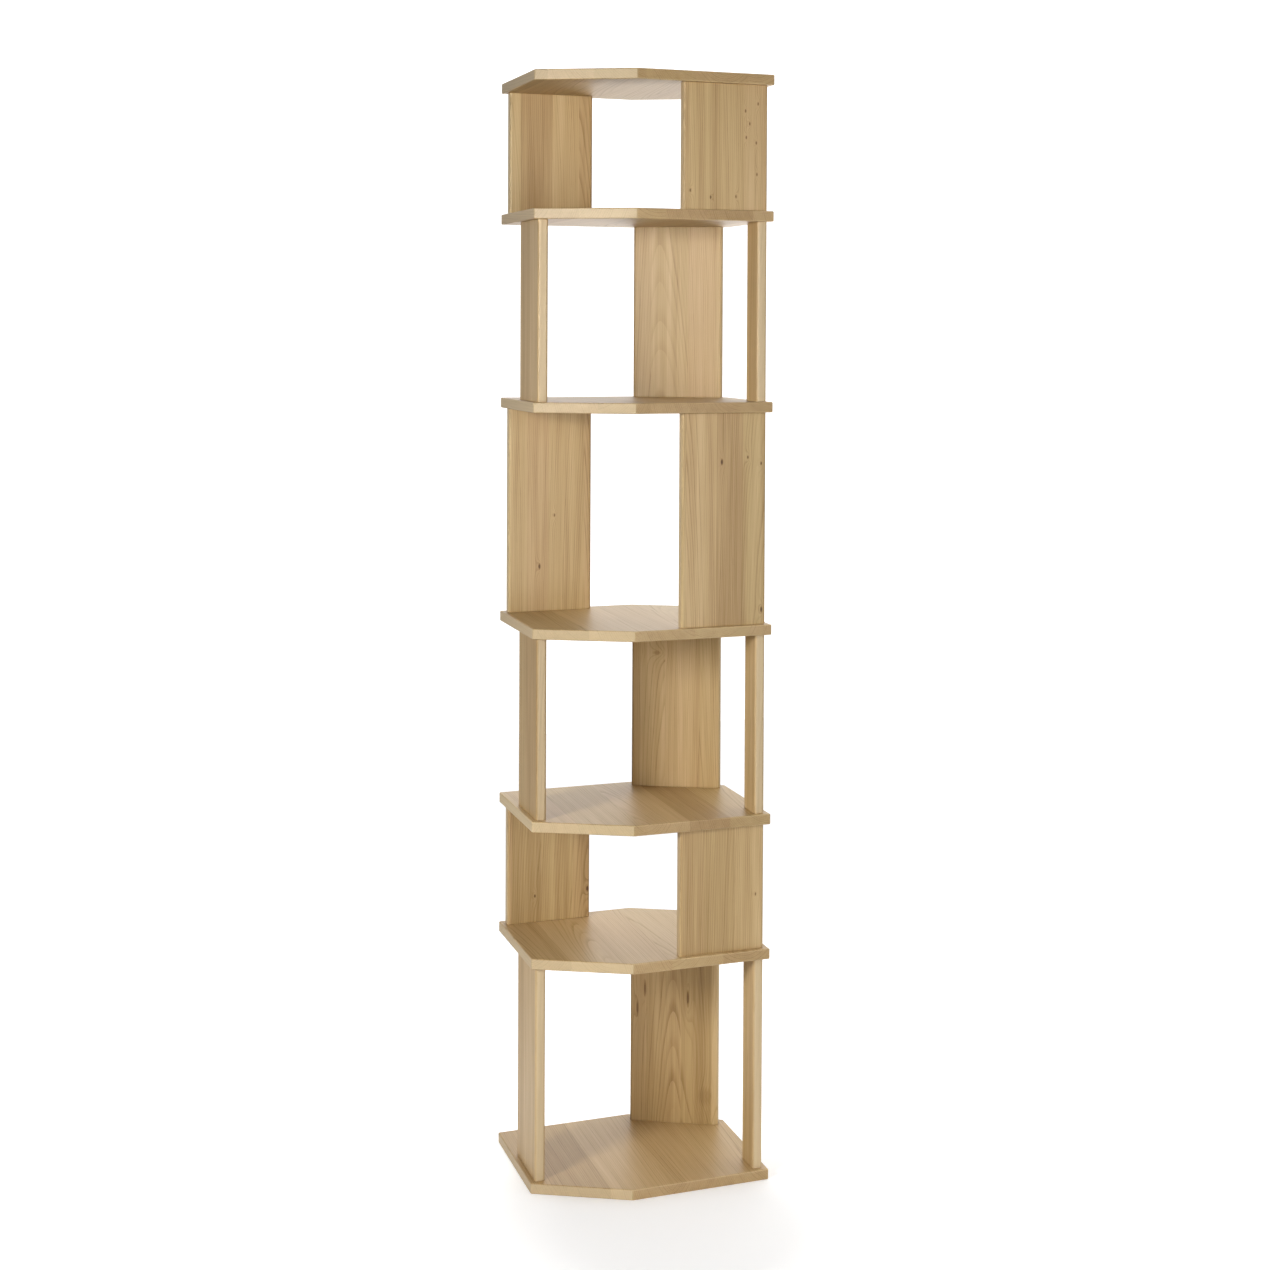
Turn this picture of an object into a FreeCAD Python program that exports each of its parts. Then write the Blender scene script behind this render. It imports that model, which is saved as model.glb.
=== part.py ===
import FreeCAD, Part
import os
import re
import Sketcher
from collections import namedtuple
from FreeCAD import Vector

# Step bookcase in solid oak: seven shelves carried one above another on staggered upright boards.
# A shelf is a rectangle with two opposite corners cut off, so it has six sides.
# Tiers with a left panel, a back panel and a right post alternate with tiers
# that have a front panel and a rear panel at opposite ends.
# Each upright is held at its foot and its head by a loose tenon,
# a flat slip of wood glued into a blind mortise in the board's end and another in the shelf.
# Frame: millimetres, +Z up, +X along the shelf, +Y towards the back.
# The origin is on the floor, below the middle of the shelves.

SIZES = [
    # shelves
    ("shelf_length", 425.0),
    ("shelf_depth", 305.0),
    ("shelf_thickness", 19.0),
    ("shelf_edge_radius", 2.0),  # top and bottom edges
    ("shelf_corner_chamfer", 1.5),  # upright corners
    ("corner_cut_length", 165.0),  # how much of the length a cut corner takes
    ("corner_cut_depth", 82.5),  # how much of the depth it takes
    # clear heights between the shelves
    ("low_tier", 226.0),
    ("middle_tier", 324.5),
    ("tall_tier", 383.0),
    # upright boards
    ("board_thickness", 19.0),
    ("board_edge_radius", 5.0),  # the long rounded edges
    ("board_end_chamfer", 0.8),  # the eased edges at head and foot
    ("edge_inset", 9.0),  # from a shelf's edge to the outer face of a board
    ("long_panel_width", 162.0),  # the front and rear panels
    ("left_panel_width", 120.0),
    ("left_panel_setback", 3.0),  # behind the front end of the shelf's left side
    ("right_post_width", 52.0),
    ("back_panel_margin", 7.25),  # left free at each end of the cut corner
    # loose tenons
    ("tenon_thickness", 6.0),
    ("tenon_end_chamfer", 0.8),
    ("tenon_clearance", 0.05),  # all round, for the glue
    ("tenon_end_gap", 0.5),  # between a tenon's end and the bottom of its mortise
    ("mortise_cover", 7.0),  # wood left beyond a mortise in a shelf
    ("board_mortise_depth", 24.0),
]
SIZE_NAMES = {name for name, value in SIZES}

doc = FreeCAD.newDocument("step_bookcase")
sheet = doc.addObject("Spreadsheet::Sheet", "Sizes")
for row, (size_name, size_value) in enumerate(SIZES, start=1):
    sheet.set(f"A{row}", size_name)
    sheet.set(f"B{row}", str(size_value))
    sheet.setAlias(f"B{row}", size_name)
doc.recompute()


def formula(text):
    """Turn plain size names into references to the sheet's cells."""
    return re.sub(r"[a-z_]+", lambda m: f"Sizes.{m[0]}" if m[0] in SIZE_NAMES else m[0], text)


def value_of(text):
    return float(sheet.evalExpression(formula(text)))


# An upright's plan: its width, the middle of its footprint and how far its width is turned from +X.
Upright = namedtuple("Upright", "name width middle turn")
CUT_SIDE = "sqrt(corner_cut_length ^ 2 + corner_cut_depth ^ 2)"
FACE_TO_MIDDLE = "(edge_inset + board_thickness / 2)"
LEFT_FRONT_CORNER = "(corner_cut_depth - shelf_depth / 2)"

LEFT_PANEL = Upright(
    "left_panel",
    width="left_panel_width",
    middle=(
        f"{FACE_TO_MIDDLE} - shelf_length / 2",
        f"{LEFT_FRONT_CORNER} + left_panel_setback + left_panel_width / 2",
    ),
    turn="90",
)
RIGHT_POST = Upright(
    "right_post",
    width="right_post_width",
    middle=(
        f"shelf_length / 2 - {FACE_TO_MIDDLE}",
        "edge_inset + right_post_width / 2 - shelf_depth / 2",
    ),
    turn="90",
)
BACK_PANEL = Upright(
    "back_panel",
    width=f"{CUT_SIDE} - 2 * back_panel_margin",
    middle=(
        f"(shelf_length - corner_cut_length) / 2 - {FACE_TO_MIDDLE} * corner_cut_depth / {CUT_SIDE}",
        f"(shelf_depth - corner_cut_depth) / 2 - {FACE_TO_MIDDLE} * corner_cut_length / {CUT_SIDE}",
    ),
    turn="-atan(corner_cut_depth / corner_cut_length)",
)
FRONT_PANEL = Upright(
    "front_panel",
    width="long_panel_width",
    middle=(
        "shelf_length / 2 - edge_inset - long_panel_width / 2",
        f"{FACE_TO_MIDDLE} - shelf_depth / 2",
    ),
    turn="0",
)
REAR_PANEL = Upright(
    "rear_panel",
    width="long_panel_width",
    middle=(
        "edge_inset + long_panel_width / 2 - shelf_length / 2",
        f"shelf_depth / 2 - {FACE_TO_MIDDLE}",
    ),
    turn="0",
)

# The tiers from the floor up: the clear height and the uprights of each.
Tier = namedtuple("Tier", "height uprights")
THREE_UPRIGHTS = (LEFT_PANEL, BACK_PANEL, RIGHT_POST)
TWO_UPRIGHTS = (FRONT_PANEL, REAR_PANEL)
TIERS = [
    Tier("tall_tier", THREE_UPRIGHTS),
    Tier("low_tier", TWO_UPRIGHTS),
    Tier("middle_tier", THREE_UPRIGHTS),
    Tier("tall_tier", TWO_UPRIGHTS),
    Tier("middle_tier", THREE_UPRIGHTS),
    Tier("low_tier", TWO_UPRIGHTS),
]
SHELF_NAMES = ["base_shelf", "shelf_2", "shelf_3", "shelf_4", "shelf_5", "shelf_6", "top_shelf"]

# Roundings and chamfers give way when a board is made much thinner.
SHELF_ROUNDING = "min(shelf_edge_radius; shelf_thickness / 3)"
BOARD_ROUNDING = "min(board_edge_radius; board_thickness / 2.5)"
BOARD_END_EASING = "min(board_end_chamfer; board_thickness / 8)"
TENON_END_EASING = "min(tenon_end_chamfer; tenon_thickness / 4)"
SHELF_MORTISE_DEPTH = "(shelf_thickness - mortise_cover)"
TENON_IN_SHELF = f"({SHELF_MORTISE_DEPTH} - tenon_end_gap)"
TENON_IN_BOARD = "(board_mortise_depth - tenon_end_gap)"


def tenon_width(upright):
    """A tenon is half as wide as its board and stands in the middle of it."""
    return f"({upright.width}) / 2"


def shelf_underside(level):
    """Height of a shelf's underside above the floor, level 0 being the base."""
    heights = [tier.height for tier in TIERS[:level]]
    return " + ".join([f"{level} * shelf_thickness"] + heights)


def shelf_top(level):
    return f"{shelf_underside(level)} + shelf_thickness"


def put_at_upright(thing, placement, upright):
    """Bind the plan part of a placement, its X, Y and turn, to an upright's."""
    thing.setExpression(f"{placement}.Base.x", formula(upright.middle[0]))
    thing.setExpression(f"{placement}.Base.y", formula(upright.middle[1]))
    thing.setExpression(f"{placement}.Rotation.Angle", formula(upright.turn))


def new_body(name):
    body = doc.addObject("PartDesign::Body", name)
    body.Label = name
    return body


def new_sketch(body, name, height="0", upright=None):
    """A sketch at a height above the body's ground plane; with an upright, in that board's own axes."""
    ground = next(plane for plane in body.Origin.OriginFeatures if plane.Role == "XY_Plane")
    sketch = body.newObject("Sketcher::SketchObject", name)
    sketch.AttachmentSupport = (ground, [""])
    sketch.MapMode = "FlatFace"
    sketch.setExpression("AttachmentOffset.Base.z", formula(height))
    if upright:
        put_at_upright(sketch, "AttachmentOffset", upright)
    return sketch


def dimension(sketch, kind, first, second, text):
    """Bind the distance between two points, along X or along Y, to a formula."""
    index = sketch.addConstraint(Sketcher.Constraint(kind, *first, *second, value_of(text)))
    sketch.setExpression(f"Constraints[{index}]", formula(text))


SKETCH_ORIGIN = (-1, 1)


def start_of(line):
    """The start of a line, the way a sketch's constraints name it."""
    return (line, 1)


def end_of(line):
    return (line, 2)


def draw_outline(sketch, half):
    """A closed outline from half of its corners; the rest mirror them through the origin."""
    points = [Vector(x, y, 0) for x, y in half] + [Vector(-x, -y, 0) for x, y in half]
    count = len(points)
    for n in range(count):
        sketch.addGeometry(Part.LineSegment(points[n], points[(n + 1) % count]), False)
    for n in range(count):
        sketch.addConstraint(Sketcher.Constraint("Coincident", *end_of(n), *start_of((n + 1) % count)))
    for n in range(len(half)):
        pair = start_of(n) + start_of(n + len(half))
        sketch.addConstraint(Sketcher.Constraint("Symmetric", *pair, *SKETCH_ORIGIN))


def draw_rectangle(sketch, width, thickness):
    """A rectangle about the sketch's origin, its width along X."""
    half_width = value_of(width) / 2
    half_thickness = value_of(thickness) / 2
    draw_outline(sketch, [(-half_width, -half_thickness), (half_width, -half_thickness)])
    sketch.addConstraint(Sketcher.Constraint("Horizontal", 0))
    dimension(sketch, "DistanceX", start_of(0), end_of(0), width)
    dimension(sketch, "DistanceY", start_of(1), end_of(1), thickness)


def pad_sketch(body, sketch, length):
    pad = body.newObject("PartDesign::Pad", "Pad")
    pad.Profile = sketch
    pad.setExpression("Length", formula(length))
    doc.recompute()
    return pad


def cut_mortise(body, sketch, upright, depth, upwards):
    """A blind slot for an upright's tenon, cut upwards or downwards from the sketch's plane."""
    width = f"{tenon_width(upright)} + 2 * tenon_clearance"
    draw_rectangle(sketch, width, "tenon_thickness + 2 * tenon_clearance")
    before = body.Shape.Volume
    pocket = body.newObject("PartDesign::Pocket", "Mortise")
    pocket.Profile = sketch
    pocket.Reversed = upwards
    pocket.setExpression("Length", formula(depth))
    doc.recompute()
    if body.Shape.Volume >= before:
        raise RuntimeError(f"{body.Label}: {sketch.Label} cut nothing")


def edge_names(shape, wanted):
    return [f"Edge{n}" for n, edge in enumerate(shape.Edges, start=1) if wanted(edge)]


def is_level(edge):
    return edge.BoundBox.ZLength < Part.Precision.confusion()


def is_upright(edge):
    return not is_level(edge)


def round_edges(body, base, wanted, radius):
    fillet = body.newObject("PartDesign::Fillet", "RoundedEdges")
    fillet.Base = (base, edge_names(base.Shape, wanted))
    fillet.setExpression("Radius", formula(radius))
    doc.recompute()
    return fillet


def ease_edges(body, base, wanted, length):
    chamfer = body.newObject("PartDesign::Chamfer", "EasedEdges")
    chamfer.Base = (base, edge_names(base.Shape, wanted))
    chamfer.setExpression("Size", formula(length))
    doc.recompute()
    return chamfer


def make_shelf(level):
    """A six-sided board with eased edges and the mortises of the tiers below and above it."""
    body = new_body(SHELF_NAMES[level])
    half_length = value_of("shelf_length / 2")
    half_depth = value_of("shelf_depth / 2")
    left_front = (-half_length, value_of("corner_cut_depth") - half_depth)
    front_left = (value_of("corner_cut_length") - half_length, -half_depth)
    front_right = (half_length, -half_depth)
    outline = new_sketch(body, "outline")
    draw_outline(outline, [left_front, front_left, front_right])
    outline.addConstraint(Sketcher.Constraint("Horizontal", 1))
    outline.addConstraint(Sketcher.Constraint("Vertical", 2))
    dimension(outline, "DistanceX", start_of(5), start_of(2), "shelf_length")
    dimension(outline, "DistanceY", start_of(2), start_of(5), "shelf_depth")
    dimension(outline, "DistanceX", start_of(0), end_of(0), "corner_cut_length")
    dimension(outline, "DistanceY", end_of(0), start_of(0), "corner_cut_depth")
    board = pad_sketch(body, outline, "shelf_thickness")
    corners = ease_edges(body, board, is_upright, "shelf_corner_chamfer")
    round_edges(body, corners, is_level, SHELF_ROUNDING)
    if level > 0:
        for upright in TIERS[level - 1].uprights:
            below = new_sketch(body, f"below_{upright.name}", upright=upright)
            cut_mortise(body, below, upright, SHELF_MORTISE_DEPTH, upwards=True)
    if level < len(TIERS):
        for upright in TIERS[level].uprights:
            above = new_sketch(body, f"above_{upright.name}", "shelf_thickness", upright)
            cut_mortise(body, above, upright, SHELF_MORTISE_DEPTH, upwards=False)
    body.setExpression("Placement.Base.z", formula(shelf_underside(level)))
    return body


def make_upright(tier, upright):
    """A board on end: rounded long edges, eased head and foot, a mortise in each end."""
    height = TIERS[tier].height
    body = new_body(f"tier_{tier + 1}_{upright.name}")
    section = new_sketch(body, "section")
    draw_rectangle(section, upright.width, "board_thickness")
    board = pad_sketch(body, section, height)
    rounded = round_edges(body, board, is_upright, BOARD_ROUNDING)
    ease_edges(body, rounded, is_level, BOARD_END_EASING)
    cut_mortise(body, new_sketch(body, "foot"), upright, "board_mortise_depth", upwards=True)
    cut_mortise(body, new_sketch(body, "head", height), upright, "board_mortise_depth", upwards=False)
    put_at_upright(body, "Placement", upright)
    body.setExpression("Placement.Base.z", formula(shelf_top(tier)))
    return body


def make_tenon(tier, upright, end):
    """The flat slip between one end of an upright and its shelf, eased at both ends."""
    bottoms = {
        "foot": f"{shelf_top(tier)} - {TENON_IN_SHELF}",
        "head": f"{shelf_underside(tier + 1)} - {TENON_IN_BOARD}",
    }
    body = new_body(f"tier_{tier + 1}_{upright.name}_{end}_tenon")
    section = new_sketch(body, "section")
    draw_rectangle(section, tenon_width(upright), "tenon_thickness")
    slip = pad_sketch(body, section, f"{TENON_IN_SHELF} + {TENON_IN_BOARD}")
    ease_edges(body, slip, is_level, TENON_END_EASING)
    put_at_upright(body, "Placement", upright)
    body.setExpression("Placement.Base.z", formula(bottoms[end]))
    return body


subparts = [make_shelf(level) for level in range(len(SHELF_NAMES))]
for tier_number in range(len(TIERS)):
    for tier_upright in TIERS[tier_number].uprights:
        subparts.append(make_upright(tier_number, tier_upright))
        subparts.append(make_tenon(tier_number, tier_upright, "foot"))
        subparts.append(make_tenon(tier_number, tier_upright, "head"))
doc.recompute()

for thing in doc.Objects:
    if "Invalid" in thing.State or "Error" in thing.State:
        raise RuntimeError(f"{thing.Label} failed: {thing.State}")
for subpart in subparts:
    if subpart.Shape.isNull() or not subpart.Shape.isValid():
        raise RuntimeError(f"{subpart.Label} has no valid shape")

os.makedirs("parts", exist_ok=True)
for subpart in subparts:
    subpart.Shape.exportStep(f"parts/{subpart.Label}.step")
    box = subpart.Shape.BoundBox
    print(f"{subpart.Label}: {subpart.Shape.Volume:.0f} mm3, z {box.ZMin:.1f} to {box.ZMax:.1f}")
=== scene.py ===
# %% [markdown]
# # Step bookcase in oiled oak
# A tall open bookcase: seven six-sided shelves stand one above another on short upright boards.
# The solids come from the CAD model and keep their shape and place.
# This lesson gives them oak that looks sawn from real logs, then a camera and soft studio light.

# %% Load the bookcase
import math

import bpy
from mathutils import Euler, Matrix, Vector


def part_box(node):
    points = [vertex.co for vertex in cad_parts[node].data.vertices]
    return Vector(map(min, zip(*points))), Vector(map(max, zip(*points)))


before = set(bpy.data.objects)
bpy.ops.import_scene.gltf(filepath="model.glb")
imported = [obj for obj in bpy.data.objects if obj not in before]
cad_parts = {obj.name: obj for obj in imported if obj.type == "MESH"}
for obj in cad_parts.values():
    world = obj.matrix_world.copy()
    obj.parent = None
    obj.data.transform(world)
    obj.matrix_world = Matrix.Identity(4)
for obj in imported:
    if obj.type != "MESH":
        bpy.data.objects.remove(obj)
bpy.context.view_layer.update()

# %% [markdown]
# ## Camera
# The photograph was taken from about eye height, with the camera almost level, so the uprights stay
# parallel. A camera tilted down to the middle would make them lean together. A level one with a shifted
# frame keeps them straight, as the shift of a view camera does, so this one is shifted.

# %% Set the camera
PHOTO_SIDE = 1270.0  # pixels, width and height
FOCAL_LENGTH = 1863.3  # pixels
LEVEL_ROW = 354.7  # the row of pixels that the lens axis meets
SENSOR = 36.0  # millimetres
EYE = Vector((-1.1241, -3.2404, 1.5521))  # metres
HEADING = 19.16  # degrees to the right of straight into the bookcase
TILT_DOWN = 0.965  # degrees
ROLL = 0.257  # degrees

camera_data = bpy.data.cameras.new("camera")
camera_data.sensor_width = SENSOR
camera_data.lens = SENSOR * FOCAL_LENGTH / PHOTO_SIDE
camera_data.shift_y = (LEVEL_ROW - PHOTO_SIDE / 2) / PHOTO_SIDE
camera = bpy.data.objects.new("camera", camera_data)
bpy.context.scene.collection.objects.link(camera)
look = Euler((math.radians(90 - TILT_DOWN), 0, math.radians(-HEADING))).to_matrix()
look = look @ Matrix.Rotation(math.radians(ROLL), 3, "Z")
camera.matrix_world = Matrix.Translation(EYE) @ look.to_4x4()
bpy.context.scene.camera = camera
print("lens", round(camera_data.lens, 1), "mm, shift", round(camera_data.shift_y, 3))

# %% [markdown]
# ## Two helpers for materials
# Colours are picked as the eye sees them, in sRGB, but light adds up in linear values, so one function
# converts them. Materials here are node trees. A second function adds any node, sets its properties
# and fills its inputs, either with a value or with a link from another node. An input is known by its
# name or by its number, counted from 0. The numbers that are hard to remember have names below.

# %% Colour and node helpers
def linear(hex_colour):
    """An sRGB hex colour as linear red, green, blue and alpha."""
    parts = [int(hex_colour[n:n + 2], 16) / 255 for n in (1, 3, 5)]
    return [c / 12.92 if c <= 0.04045 else ((c + 0.055) / 1.055) ** 2.4 for c in parts] + [1.0]


def add_node(tree, kind, inputs=None, **settings):
    """Add a node, set its properties, then fill its inputs; gives back its outputs."""
    node = tree.nodes.new(kind)
    for name, value in settings.items():
        setattr(node, name, value)
    for key, value in (inputs or {}).items():
        if isinstance(value, bpy.types.NodeSocket):
            tree.links.new(value, node.inputs[key])
        else:
            node.inputs[key].default_value = value
    return node.outputs


VALUE, LOW, HIGH, NEW_LOW, NEW_HIGH = range(5)  # the inputs of a Map Range node
MIX_FROM = 6  # the first colour of a Mix node; inputs for numbers and vectors come before it
MIX_TO = 7  # the second colour
MIXED = 2  # the mixed colour, counted among the outputs
print("middle grey in linear light:", [round(c, 3) for c in linear("#808080")])

# %% [markdown]
# ## How the oak is built
# Each board of the real bookcase is glued up from staves, strips of oak sawn from different logs.
# A flat picture of grain would not meet at the edges, so the grain here is a solid pattern: every stave
# has its own pith, the middle of its log, and growth rings are distances from that pith.
# Cutting such a log lengthways gives the pointed arches or straight lines seen on the faces,
# and cutting it across gives ring arcs on the ends, all from one formula.
# The pattern is a node group that works in millimetres: X across the staves, Y through the thickness
# and Z along the grain. Think of it as one endless row of staves. Each board is cut from the row at
# its own start, which is counted in staves.

# %% Start the oak group with what goes in and comes out
oak = bpy.data.node_groups.new("solid_oak_grain", "ShaderNodeTree")
oak.interface.new_socket("Board", socket_type="NodeSocketVector")
for name in ("Start", "Stave", "Stripes", "Knot", "Heart"):
    oak.interface.new_socket(name, socket_type="NodeSocketFloat")
oak.interface.new_socket("Color", in_out="OUTPUT", socket_type="NodeSocketColor")
for name in ("Roughness", "Height"):
    oak.interface.new_socket(name, in_out="OUTPUT", socket_type="NodeSocketFloat")
board = add_node(oak, "NodeGroupInput")
print("oak group inputs:", [socket.name for socket in board if socket.name])

# %% Find the place in the row, in staves and in millimetres
place = add_node(oak, "ShaderNodeSeparateXYZ", {0: board["Board"]})
across = add_node(oak, "ShaderNodeMath", {0: place["X"], 1: board["Stave"]}, operation="DIVIDE")
across = add_node(oak, "ShaderNodeMath", {0: across[0], 1: board["Start"]}, operation="ADD")
row = add_node(oak, "ShaderNodeMath", {0: across[0], 1: board["Stave"]}, operation="MULTIPLY")
point = add_node(oak, "ShaderNodeCombineXYZ", {"X": row[0], "Y": place["Y"], "Z": place["Z"]})
print("nodes that find the place:", len(oak.nodes) - 1)

# %% Cut the row into staves, each with three random numbers of its own
STAVE_SPREAD = 0.6  # how unequal the staves are, 0 to 1

cell = {"W": across[0], "Scale": 1.0, "Randomness": STAVE_SPREAD}
stave = add_node(oak, "ShaderNodeTexVoronoi", cell, voronoi_dimensions="1D", feature="F1")
chance = add_node(oak, "ShaderNodeSeparateColor", {0: stave["Color"]})
beside = add_node(oak, "ShaderNodeMath", {0: across[0], 1: stave["W"]}, operation="SUBTRACT")
beside = add_node(oak, "ShaderNodeMath", {0: beside[0], 1: board["Stave"]}, operation="MULTIPLY")
print("random numbers of each stave:", [socket.name for socket in chance])

# %% [markdown]
# ## Growth rings
# A tree is a little cone, so the pith leaves the board slowly from one end to the other. That taper is
# what draws the pointed arches. A slow noise bends the rings, because no trunk is quite straight, and
# a knot pushes them aside. Wet years and dry years differ, so each ring has its own strength.

# %% Measure the distance from the pith
PITH_REACH = 240.0  # millimetres; the pith lies up to half of this to either side of its stave
PITH_DEPTH = 34.0  # millimetres, least depth of the pith behind the middle of the board
PITH_EXTRA = 50.0  # millimetres, how much deeper it may be
TAPER = 0.06  # how fast the pith leaves the board, in millimetres for each millimetre of its length

side = add_node(oak, "ShaderNodeMath", {0: chance["Red"], 1: -0.5}, operation="ADD")
side = add_node(oak, "ShaderNodeMath", {0: side[0], 1: PITH_REACH, 2: beside[0]}, operation="MULTIPLY_ADD")
depth = {0: chance["Green"], 1: PITH_EXTRA, 2: PITH_DEPTH}
depth = add_node(oak, "ShaderNodeMath", depth, operation="MULTIPLY_ADD")
depth = add_node(oak, "ShaderNodeMath", {0: depth[0], 1: place["Y"]}, operation="ADD")
depth = add_node(oak, "ShaderNodeMath", {0: place["Z"], 1: TAPER, 2: depth[0]}, operation="MULTIPLY_ADD")
pith = add_node(oak, "ShaderNodeCombineXYZ", {"X": side[0], "Y": depth[0]})
radius = add_node(oak, "ShaderNodeVectorMath", {0: pith[0]}, operation="LENGTH")["Value"]
print("pith", PITH_DEPTH, "to", PITH_DEPTH + PITH_EXTRA, "mm behind the board")

# %% Bend the rings
BEND = (110.0, 110.0, 420.0)  # millimetres, size of the bends across, through and along
BEND_REACH = 12.0  # millimetres that a bend moves a ring
KNOT_REACH = 16.0  # millimetres that a knot moves a ring

bend = {0: point[0], 1: [1 / size for size in BEND]}
bend = add_node(oak, "ShaderNodeVectorMath", bend, operation="MULTIPLY")
bend = add_node(oak, "ShaderNodeTexNoise", {"Vector": bend[0], "Scale": 1.0, "Detail": 2.0})
for amount, reach in ((bend["Fac"], BEND_REACH), (board["Knot"], KNOT_REACH)):
    moved = {0: amount, 1: reach, 2: radius}
    radius = add_node(oak, "ShaderNodeMath", moved, operation="MULTIPLY_ADD")[0]
print("a bend moves a ring by up to", BEND_REACH, "mm and a knot by", KNOT_REACH, "mm")

# %% Count the rings
RING = 3.4  # millimetres from ring to ring; the real 1 to 2 mm would be too fine to show
EARLY_WOOD = 0.6  # share of a ring over which the dark, porous spring wood fades out

years = add_node(oak, "ShaderNodeMath", {0: radius, 1: 1 / RING}, operation="MULTIPLY")
ring = add_node(oak, "ShaderNodeMath", {0: years[0]}, operation="FRACT")
year = add_node(oak, "ShaderNodeMath", {0: years[0]}, operation="FLOOR")
year = add_node(oak, "ShaderNodeTexWhiteNoise", {"W": year[0]}, noise_dimensions="1D")
early = {VALUE: ring[0], LOW: 0.0, HIGH: EARLY_WOOD, NEW_LOW: 1.0, NEW_HIGH: 0.0}
early = add_node(oak, "ShaderNodeMapRange", early, interpolation_type="SMOOTHSTEP")
early = add_node(oak, "ShaderNodeMath", {0: early[0], 1: year["Value"]}, operation="MULTIPLY")
print("rings every", RING, "mm")

# %% [markdown]
# ## Fibres, streaks and pores
# Fibres and pores run with the grain, so their noise is stretched along Z. A streak is a broad stripe
# of heavier wood. Pores are the fine dark dashes that make oak look like oak.

# %% Long thin noises, each from a size in millimetres: across, through, along
FIBRE = (1.9, 1.9, 150.0)
STREAK = (14.0, 14.0, 420.0)
PORE = (1.2, 1.2, 22.0)  # real pores are 0.3 mm wide, and are drawn about four times as wide to show
PORE_FROM = 0.58  # noise above this starts a pore
PORE_FULL = 0.70  # and above this it is at its darkest

grain = {}
for name, size, detail in (("fibre", FIBRE, 2.0), ("streak", STREAK, 2.0), ("pore", PORE, 0.0)):
    scale = [1 / length for length in size]
    spread = add_node(oak, "ShaderNodeVectorMath", {0: point[0], 1: scale}, operation="MULTIPLY")
    noise = {"Vector": spread[0], "Scale": 1.0, "Detail": detail}
    grain[name] = add_node(oak, "ShaderNodeTexNoise", noise)["Fac"]
pores = add_node(oak, "ShaderNodeMapRange", {VALUE: grain["pore"], LOW: PORE_FROM, HIGH: PORE_FULL})
pores = add_node(oak, "ShaderNodeMath", {0: pores[0], 1: early[0]}, operation="MULTIPLY")
print("solid noises:", list(grain))

# %% Add up how dark the wood is
PLAIN = 0.28  # darkness of wood with no mark at all
NOISE_MIDDLE = 0.5  # a streak darkens above this and lightens below it

stripe = add_node(oak, "ShaderNodeMath", {0: grain["streak"], 1: -NOISE_MIDDLE}, operation="ADD")
stripe = add_node(oak, "ShaderNodeMath", {0: stripe[0], 1: board["Stripes"]}, operation="MULTIPLY")
DARKNESS = (
    # a mark, and how much it darkens the wood
    (early[0], 0.26),
    (grain["fibre"], 0.42),
    (stripe[0], 0.56),
    (chance["Blue"], 0.28),
    (pores[0], 0.14),
    (board["Heart"], 0.80),
)
dark = PLAIN
for mark, weight in DARKNESS:
    dark = add_node(oak, "ShaderNodeMath", {0: mark, 1: weight, 2: dark}, operation="MULTIPLY_ADD")[0]
print("darkness adds up from", len(DARKNESS), "marks")

# %% Turn darkness into colour, roughness and relief
GRAIN_COLOURS = ((0.30, "#D4B989"), (0.60, "#C0A271"), (0.88, "#A68656"), (1.40, "#5A3C22"))
DARKEST = GRAIN_COLOURS[-1][0]
HUE_KEPT = 0.5  # the setting that leaves a hue as it is
HUE_SPREAD = 0.007  # how far apart the reddest and the yellowest stave are
SATIN = (0.36, 0.52)  # roughness of the palest and the darkest wood

share = add_node(oak, "ShaderNodeMath", {0: dark, 1: 1 / DARKEST}, operation="MULTIPLY")
colour = add_node(oak, "ShaderNodeValToRGB", {0: share[0]})
stops = colour["Color"].node.color_ramp.elements
for n, (amount, hex_colour) in enumerate(GRAIN_COLOURS):
    stop = stops[n] if n < len(stops) else stops.new(1.0)
    stop.position = amount / DARKEST
    stop.color = linear(hex_colour)
hue = {VALUE: chance["Green"], NEW_LOW: HUE_KEPT - HUE_SPREAD / 2, NEW_HIGH: HUE_KEPT + HUE_SPREAD / 2}
hue = add_node(oak, "ShaderNodeMapRange", hue)
colour = add_node(oak, "ShaderNodeHueSaturation", {"Hue": hue[0], "Color": colour["Color"]})
rough = add_node(oak, "ShaderNodeMapRange", {VALUE: share[0], NEW_LOW: SATIN[0], NEW_HIGH: SATIN[1]})
relief = add_node(oak, "ShaderNodeMath", {0: dark, 1: -1.0}, operation="MULTIPLY")
add_node(oak, "NodeGroupOutput", {"Color": colour[0], "Roughness": rough[0], "Height": relief[0]})
print("oak group has", len(oak.nodes), "nodes")

# %% [markdown]
# ## Knots
# A knot is the foot of a branch: a small dark oval that the rings flow round. Painting one would leave
# the rings straight, so each knot gives the oak group two numbers: how hard it pushes the rings, which
# fades slowly, and how dark its heart is, which stops close by.

# %% Knots in one board
PUSH_FADE = 0.6  # what is left of the push at the knot's edge, and again at each such step outwards
HEART_SOLID = 0.5  # share of the knot that is fully dark
HEART_EDGE = 1.3  # where the dark ends, just outside the knot


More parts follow.
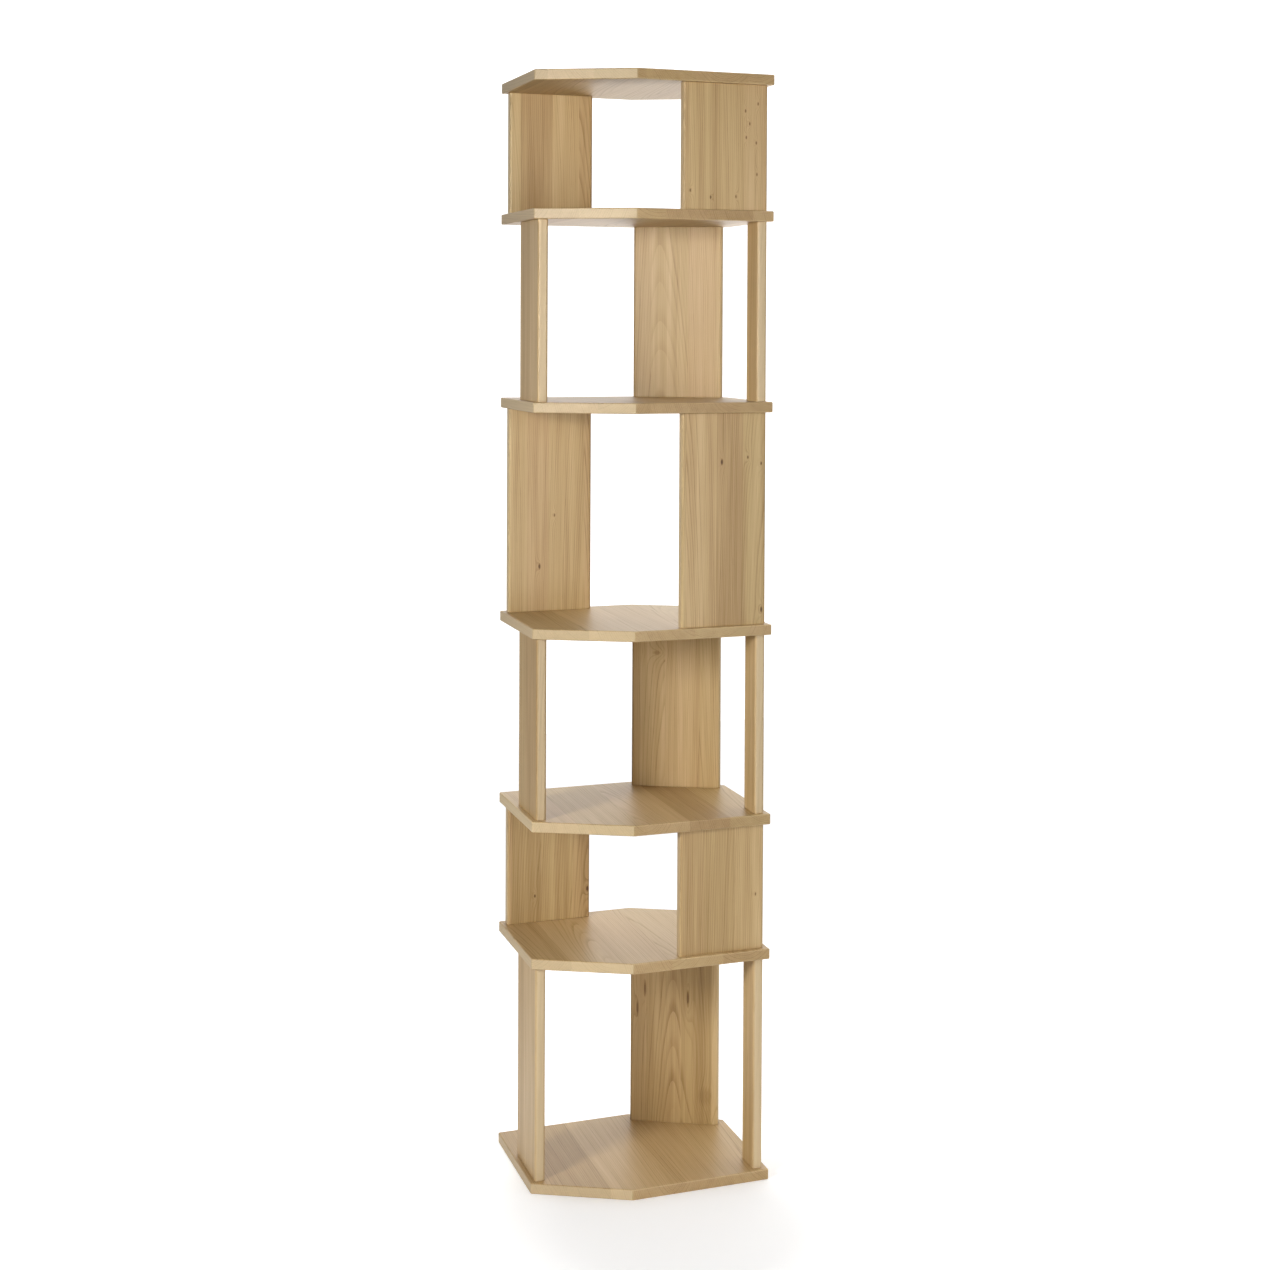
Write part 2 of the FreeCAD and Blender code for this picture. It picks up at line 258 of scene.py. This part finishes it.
def knot_signs(tree, place, knots):
    """How hard knots push the rings at a place on the board, and how dark their hearts are there."""
    push = 0.0
    heart = 0.0
    for across, up, width, height, darkness in knots:
        away = {0: place, 1: (-across, 0.0, -up)}
        away = add_node(tree, "ShaderNodeVectorMath", away, operation="ADD")
        away = {0: away[0], 1: (2 / width, 0.0, 2 / height)}
        away = add_node(tree, "ShaderNodeVectorMath", away, operation="MULTIPLY")
        away = add_node(tree, "ShaderNodeVectorMath", {0: away[0]}, operation="LENGTH")["Value"]
        near = add_node(tree, "ShaderNodeMath", {0: PUSH_FADE, 1: away}, operation="POWER")
        push = add_node(tree, "ShaderNodeMath", {0: near[0], 1: push}, operation="MAXIMUM")[0]
        core = {VALUE: away, LOW: HEART_SOLID, HIGH: HEART_EDGE, NEW_LOW: darkness, NEW_HIGH: 0.0}
        core = add_node(tree, "ShaderNodeMapRange", core)
        heart = add_node(tree, "ShaderNodeMath", {0: core[0], 1: heart}, operation="MAXIMUM")[0]
    return push, heart


print("share of a knot's push left at three times its radius:", round(PUSH_FADE ** 3, 2))

# %% [markdown]
# ## Oiled oak for one board
# The boards were planed, sanded and oiled. Oil sinks in and leaves a thin satin film: it mirrors pale
# surroundings when it is seen at a low angle, and the open grain keeps it from shining elsewhere.
# Long edges look paler than the faces. End grain drinks more oil and is darker.
# So the colour depends on which way the surface faces, which also holds on the rounded edges.

# %% Oiled oak
PALE_EDGE = linear("#DBC9A7")
EDGE_SHARE = 0.45  # how far a long edge goes towards that colour
EDGE_TURN = (0.8, 0.2)  # how squarely a surface faces out of the board, from face to edge
DARK_END = linear("#7A5A38")
END_SHARE = 0.22  # how far end grain goes towards that colour
END_TURN = (0.92, 0.98)  # how squarely a surface faces along the grain, from edge to end
RELIEF = 0.0004  # metres between the highest and lowest grain
RELIEF_SHARE = 0.25  # sanding leaves this much of it to be seen
OIL_IOR = 1.5  # typical of hardened oil
MILLIMETRE = 0.001  # metres


def oiled_oak(name, start, middle, turn, stave, stripes, knots):
    """Planed, sanded and oiled oak: to the eye a warm satin brown, paler on edges, darker on ends."""
    material = bpy.data.materials.new(f"oiled_oak_{name}")
    material.use_nodes = True
    tree = material.node_tree
    tree.nodes.clear()
    spot = add_node(tree, "ShaderNodeTexCoord")
    ruler = {"Vector": spot["Object"], "Location": middle, "Rotation": turn, "Scale": (MILLIMETRE,) * 3}
    place = add_node(tree, "ShaderNodeMapping", ruler, vector_type="TEXTURE")
    push, heart = knot_signs(tree, place[0], knots)
    cut = {"Board": place[0], "Start": start, "Stave": stave, "Stripes": stripes}
    cut.update({"Knot": push, "Heart": heart})
    grain = add_node(tree, "ShaderNodeGroup", cut, node_tree=oak)
    facing = []
    for way in ((0, 1, 0), (0, 0, 1)):
        slope = {0: spot["Normal"], 1: turn.to_matrix() @ Vector(way)}
        slope = add_node(tree, "ShaderNodeVectorMath", slope, operation="DOT_PRODUCT")
        facing.append(add_node(tree, "ShaderNodeMath", {0: slope["Value"]}, operation="ABSOLUTE")[0])
    edge = {VALUE: facing[0], LOW: EDGE_TURN[0], HIGH: EDGE_TURN[1], NEW_LOW: 0.0, NEW_HIGH: EDGE_SHARE}
    edge = add_node(tree, "ShaderNodeMapRange", edge)
    end = {VALUE: facing[1], LOW: END_TURN[0], HIGH: END_TURN[1]}
    end = add_node(tree, "ShaderNodeMapRange", end)
    planed = {"Factor": edge[0], MIX_FROM: grain["Color"], MIX_TO: PALE_EDGE}
    planed = add_node(tree, "ShaderNodeMix", planed, data_type="RGBA")
    soaked = {"Factor": END_SHARE, MIX_FROM: grain["Color"], MIX_TO: DARK_END}
    soaked = add_node(tree, "ShaderNodeMix", soaked, data_type="RGBA")
    colour = {"Factor": end[0], MIX_FROM: planed[MIXED], MIX_TO: soaked[MIXED]}
    colour = add_node(tree, "ShaderNodeMix", colour, data_type="RGBA")
    bump = {"Height": grain["Height"], "Strength": RELIEF_SHARE, "Distance": RELIEF}
    bump = add_node(tree, "ShaderNodeBump", bump)
    oil = {"Base Color": colour[MIXED], "Roughness": grain["Roughness"], "IOR": OIL_IOR}
    oil["Normal"] = bump[0]
    shader = add_node(tree, "ShaderNodeBsdfPrincipled", oil)
    add_node(tree, "ShaderNodeOutputMaterial", {"Surface": shader[0]})
    return material


print("edge colour in linear light:", [round(c, 3) for c in PALE_EDGE])

# %% [markdown]
# ## Choose the wood
# A joiner lays out boards by eye and picks which stave goes where. Here each board has a start in the
# row of staves, chosen because the staves there are about as light or dark, and as plain or arched, as
# those of the real board. The knots are those that can be seen on the real boards.

# %% Where each board is cut from the row, counted in staves
STARTS = {
    "base_shelf": 112.5,
    "shelf_2": 12.5,
    "shelf_3": 65.1,
    "shelf_4": 41.0,
    "shelf_5": 20.0,
    "shelf_6": 109.6,
    "top_shelf": 28.0,
    "tier_1_left_panel": 112.6,
    "tier_1_back_panel": 80.6,
    "tier_1_right_post": 12.8,
    "tier_2_front_panel": 39.2,
    "tier_2_rear_panel": 27.9,
    "tier_3_left_panel": 38.4,
    "tier_3_back_panel": 12.0,
    "tier_3_right_post": 12.9,
    "tier_4_front_panel": 66.0,
    "tier_4_rear_panel": 63.6,
    "tier_5_left_panel": 113.0,
    "tier_5_back_panel": 42.6,
    "tier_5_right_post": 43.7,
    "tier_6_front_panel": 78.2,
    "tier_6_rear_panel": 75.0,
}
print("boards with a start:", len(STARTS))

# %% Knots that show on the wide panels
PIN = (3.2, 6.5, 0.8)  # millimetres across and up, then how dark it is
KNOT = (4.5, 11.0, 0.9)
SPLIT = (4.5, 30.0, 0.7)
SMUDGE = (14.0, 8.0, 0.4)
BURL = (26.0, 34.0, 0.16)

# Each knot: share of the panel's width from its left side, share of its height from its foot, kind.
KNOTS = {
    "tier_6_front_panel": (
        (0.88, 0.85, PIN), (0.73, 0.79, PIN), (0.78, 0.69, PIN), (0.74, 0.58, PIN), (0.86, 0.54, PIN),
        (0.87, 0.29, PIN), (0.08, 0.15, PIN), (0.32, 0.10, PIN), (0.62, 0.11, PIN),
    ),
    "tier_4_rear_panel": ((0.55, 0.47, PIN), (0.37, 0.22, KNOT)),
    "tier_4_front_panel": (
        (0.47, 0.77, KNOT), (0.94, 0.76, PIN), (0.95, 0.07, KNOT), (0.78, 0.79, PIN),
    ),
    "tier_3_back_panel": ((0.27, 0.79, SMUDGE),),
    "tier_2_rear_panel": ((0.97, 0.24, KNOT), (0.33, 0.22, PIN)),
    "tier_2_front_panel": ((0.90, 0.44, PIN),),
    "tier_1_back_panel": (
        (0.15, 0.67, SPLIT), (0.06, 0.57, SPLIT), (0.66, 0.63, SPLIT), (0.87, 0.14, BURL),
    ),
}
print("knots:", sum(len(knots) for knots in KNOTS.values()), "on", len(KNOTS), "panels")

# %% [markdown]
# ## Dress the boards
# Grain runs up the uprights, so that they carry load along their fibres, and from front to back across
# the shelves. Each kind of board therefore turns the pattern its own way. The back panels stand along
# the cut corner of the shelves and turn with it.

# %% Give every board its oak
CUT_DEPTH = 82.5  # millimetres, across the shelf
CUT_LENGTH = 165.0  # millimetres, along the shelf
PANEL_WIDTH = 162.0  # millimetres, of the panels that have knots
UPRIGHT_STAVE = 58.0  # millimetres, the usual width of a stave
SHELF_STAVE = 88.0  # millimetres
UPRIGHT_STRIPES = 1.0  # how strongly the streaks show
SHELF_STRIPES = 0.4  # the shelves were cut from plainer wood
QUARTER_TURN = math.pi / 2
SHELF_TURN = Euler((-QUARTER_TURN, 0, 0))
UPRIGHT_TURNS = {
    "left_panel": QUARTER_TURN,
    "right_post": QUARTER_TURN,
    "back_panel": -math.atan2(CUT_DEPTH, CUT_LENGTH),
    "front_panel": 0.0,
    "rear_panel": 0.0,
}

for name, start in STARTS.items():
    low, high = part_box(name)
    middle = (low + high) / 2
    height = (high.z - low.z) / MILLIMETRE
    knots = []
    for across, up, kind in KNOTS.get(name, ()):
        # From shares of the panel to millimetres from its middle.
        knots.append(((across - 0.5) * PANEL_WIDTH, (up - 0.5) * height, *kind))
    if "shelf" in name:
        material = oiled_oak(name, start, middle, SHELF_TURN, SHELF_STAVE, SHELF_STRIPES, knots)
    else:
        upright = name.split("_", 2)[2]  # the words after the tier's number
        turn = Euler((0, 0, UPRIGHT_TURNS[upright]))
        material = oiled_oak(name, start, middle, turn, UPRIGHT_STAVE, UPRIGHT_STRIPES, knots)
    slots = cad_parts[name].data.materials
    slots.clear()
    slots.append(material)
print("boards dressed:", len(STARTS))

# %% [markdown]
# ## Beech for the tenons
# The loose tenons sit hidden in their mortises, so a plain wood is enough. Tenon stock is sold as
# planed beech: pink-brown, dull, with short dark flecks along the grain. One noise, stretched upwards
# and cut off low, gives the flecks.

# %% Planed beech
FLECK = (1.2, 1.2, 6.0)  # millimetres across, through, along; real ones, half as wide, would not show
FLECK_FROM = 0.5  # noise above this starts a fleck
FLECK_FULL = 0.7  # and above this it is at its darkest
BEECH = linear("#CFA883")
BEECH_FLECK = linear("#A67B58")
PLANED = 0.6  # roughness of bare planed wood

# Planed and unfinished: no shine, so the eye sees only the colour and its flecks.
beech = bpy.data.materials.new("planed_beech")
beech.use_nodes = True
tree = beech.node_tree
tree.nodes.clear()
spot = add_node(tree, "ShaderNodeTexCoord")
spread = {0: spot["Object"], 1: [1 / (MILLIMETRE * size) for size in FLECK]}
spread = add_node(tree, "ShaderNodeVectorMath", spread, operation="MULTIPLY")
fleck = add_node(tree, "ShaderNodeTexNoise", {"Vector": spread[0], "Scale": 1.0, "Detail": 2.0})
fleck = add_node(tree, "ShaderNodeMapRange", {VALUE: fleck["Fac"], LOW: FLECK_FROM, HIGH: FLECK_FULL})
tone = {"Factor": fleck[0], MIX_FROM: BEECH, MIX_TO: BEECH_FLECK}
tone = add_node(tree, "ShaderNodeMix", tone, data_type="RGBA")
shader = add_node(tree, "ShaderNodeBsdfPrincipled", {"Base Color": tone[MIXED], "Roughness": PLANED})
add_node(tree, "ShaderNodeOutputMaterial", {"Surface": shader[0]})

tenons = [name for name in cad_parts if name.endswith("_tenon")]
for name in tenons:
    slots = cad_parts[name].data.materials
    slots.clear()
    slots.append(beech)
print("tenons dressed:", len(tenons))

# %% [markdown]
# ## Floor
# The bookcase stands on white paper that is lit until it shows no edge. Strong lamps on the paper
# would do that, but the paper would then throw much light up at the wood. So the paper here glows a
# little where it is seen, which is painted light, and is darker away from the foot. Close to the foot
# it glows least: a painted shadow, laid over the real soft shadow there.

# %% Lay the floor
FLOOR_HALF = 3.5  # metres
SIDES = (-FLOOR_HALF, FLOOR_HALF)

floor_mesh = bpy.data.meshes.new("floor")
floor_mesh.from_pydata([(x, y, 0.0) for x in SIDES for y in SIDES], [], [(0, 2, 3, 1)])
floor = bpy.data.objects.new("floor", floor_mesh)
bpy.context.scene.collection.objects.link(floor)
print("floor", 2 * FLOOR_HALF, "m square")

# %% Matt white paper with a painted glow
FOOT = (0.0, -0.25, 0.0)  # metres, the middle of the painted shadow in front of the bookcase
GLOW = (0.22, 0.95)  # strength of the painted glow, in the painted shadow and away from it
GLOW_REACH = (0.2, 0.7)  # metres from the foot over which the glow rises
GLOW_MIRRORED = 0.5  # share of the painted glow that shows in the satin of the oak
PAPER = (0.90, 0.15)  # how white the paper is near the foot, and away from it
PAPER_REACH = (0.6, 1.8)  # metres from the foot over which it darkens
MATT = 0.9  # roughness of uncoated paper

# Uncoated paper: no shine. Its painted glow makes it one white, and the glow is least near the foot, a
# painted shadow over the faint real one.
paper = bpy.data.materials.new("white_paper_with_painted_glow")
paper.use_nodes = True
tree = paper.node_tree
tree.nodes.clear()
ray = add_node(tree, "ShaderNodeLightPath")
spot = add_node(tree, "ShaderNodeTexCoord")
away = add_node(tree, "ShaderNodeVectorMath", {0: spot["Object"], 1: FOOT}, operation="DISTANCE")["Value"]
glow = {VALUE: away, LOW: GLOW_REACH[0], HIGH: GLOW_REACH[1], NEW_LOW: GLOW[0], NEW_HIGH: GLOW[1]}
glow = add_node(tree, "ShaderNodeMapRange", glow)
tone = {VALUE: away, LOW: PAPER_REACH[0], HIGH: PAPER_REACH[1], NEW_LOW: PAPER[0], NEW_HIGH: PAPER[1]}
tone = add_node(tree, "ShaderNodeMapRange", tone)
seen = {0: ray["Is Glossy Ray"], 1: GLOW_MIRRORED, 2: ray["Is Camera Ray"]}
seen = add_node(tree, "ShaderNodeMath", seen, operation="MULTIPLY_ADD")
glow = add_node(tree, "ShaderNodeMath", {0: seen[0], 1: glow[0]}, operation="MULTIPLY")
white = {"Base Color": tone[0], "Roughness": MATT}
white.update({"Emission Color": linear("#FFFFFF"), "Emission Strength": glow[0]})
shader = add_node(tree, "ShaderNodeBsdfPrincipled", white)
add_node(tree, "ShaderNodeOutputMaterial", {"Surface": shader[0]})
floor_mesh.materials.append(paper)
print("paper glows from", GLOW[0], "to", GLOW[1])

# %% [markdown]
# ## Surroundings
# A studio for this kind of picture has a white wall behind the object and a white ceiling that is
# bright towards the back. The wall is what the shelf tops mirror, which makes them look pale. The rest
# of the room is dim, so that the soft boxes alone shape the light. Whoever looks past the bookcase
# sees plain white.

# %% White studio
ROOM = 0.08  # brightness of the dim part of the room
CEILING = 1.5
CEILING_RISE = (0.1, 0.6)  # height of a direction, 0 level and 1 straight up, over which it brightens
CEILING_WAY = (0.8, 0.6, 0.0)  # the bright part lies to the back right
CEILING_FADE = (-0.1, 0.5)  # how far that way a direction points, over which it brightens
WALL = 1.3
WALL_FADE = (0.70, 0.97)  # how far towards the middle of the wall a direction points
WALL_WAY = look @ Vector((0, 0, -1))  # the wall stands behind the bookcase as the picture shows it

world = bpy.data.worlds.new("white_studio")
bpy.context.scene.world = world
world.use_nodes = True
tree = world.node_tree
tree.nodes.clear()
ray = add_node(tree, "ShaderNodeLightPath")
way = add_node(tree, "ShaderNodeTexCoord")["Generated"]
height = add_node(tree, "ShaderNodeSeparateXYZ", {0: way})["Z"]
ceiling = {VALUE: height, LOW: CEILING_RISE[0], HIGH: CEILING_RISE[1], NEW_LOW: 0.0, NEW_HIGH: CEILING}
ceiling = add_node(tree, "ShaderNodeMapRange", ceiling)
back = add_node(tree, "ShaderNodeVectorMath", {0: way, 1: CEILING_WAY}, operation="DOT_PRODUCT")
back = {VALUE: back["Value"], LOW: CEILING_FADE[0], HIGH: CEILING_FADE[1]}
back = add_node(tree, "ShaderNodeMapRange", back)
room = add_node(tree, "ShaderNodeMath", {0: ceiling[0], 1: back[0], 2: ROOM}, operation="MULTIPLY_ADD")
wall = add_node(tree, "ShaderNodeVectorMath", {0: way, 1: WALL_WAY}, operation="DOT_PRODUCT")
wall = {VALUE: wall["Value"], LOW: WALL_FADE[0], HIGH: WALL_FADE[1], NEW_LOW: 0.0, NEW_HIGH: WALL}
wall = add_node(tree, "ShaderNodeMapRange", wall)
light = add_node(tree, "ShaderNodeMath", {0: room[0], 1: wall[0]}, operation="ADD")
level = add_node(tree, "ShaderNodeMath", {0: ray["Is Camera Ray"], 1: light[0]}, operation="MAXIMUM")
sky = add_node(tree, "ShaderNodeBackground", {"Color": linear("#FFFFFF"), "Strength": level[0]})
add_node(tree, "ShaderNodeOutputWorld", {"Surface": sky[0]})
bpy.context.scene.view_settings.view_transform = "Standard"
print("wall", WALL, "ceiling", CEILING, "rest of the room", ROOM)

# %% [markdown]
# ## Soft boxes
# The key light stands to the left and draws the soft shadows of the left panels on the back panels.
# A second box lights the two upper tiers from nearer the front. A wide one in front of the bookcase
# fills the shadows, and a low one behind it lights the undersides of the upper shelves. Three of them
# carry a grid, which narrows the beam so that each box lights only its own part.

# %% Set up the soft boxes
OPEN = 180.0  # degrees, the beam of a box with no grid
SOFT_BOXES = (
    # name, place, what it is aimed at, width and height (all metres), beam (degrees), watts
    ("key", (-2.50, -1.42, 1.65), (0.0, 0.0, 0.55), (0.65, 0.75), 55.0, 6.0),
    ("upper", (-1.67, -1.80, 1.75), (0.0, 0.0, 1.97), (0.50, 0.60), 50.0, 2.7),
    ("low", (0.90, 1.60, 0.02), (0.0, 0.0, 1.90), (0.80, 0.80), 50.0, 5.0),
    ("fill", (0.50, -3.60, 1.10), (0.0, 0.0, 0.90), (2.20, 2.00), OPEN, 46.0),
)

for name, stand, aim, sides, beam, watts in SOFT_BOXES:
    lamp = bpy.data.lights.new(f"{name}_soft_box", "AREA")
    lamp.shape = "RECTANGLE"
    lamp.size, lamp.size_y = sides
    lamp.spread = math.radians(beam)
    lamp.energy = watts
    box = bpy.data.objects.new(f"{name}_soft_box", lamp)
    bpy.context.scene.collection.objects.link(box)
    box.location = stand
    box.rotation_mode = "QUATERNION"
    box.rotation_quaternion = (Vector(aim) - Vector(stand)).to_track_quat("-Z", "Y")
print("soft boxes:", [name for name, *_ in SOFT_BOXES])
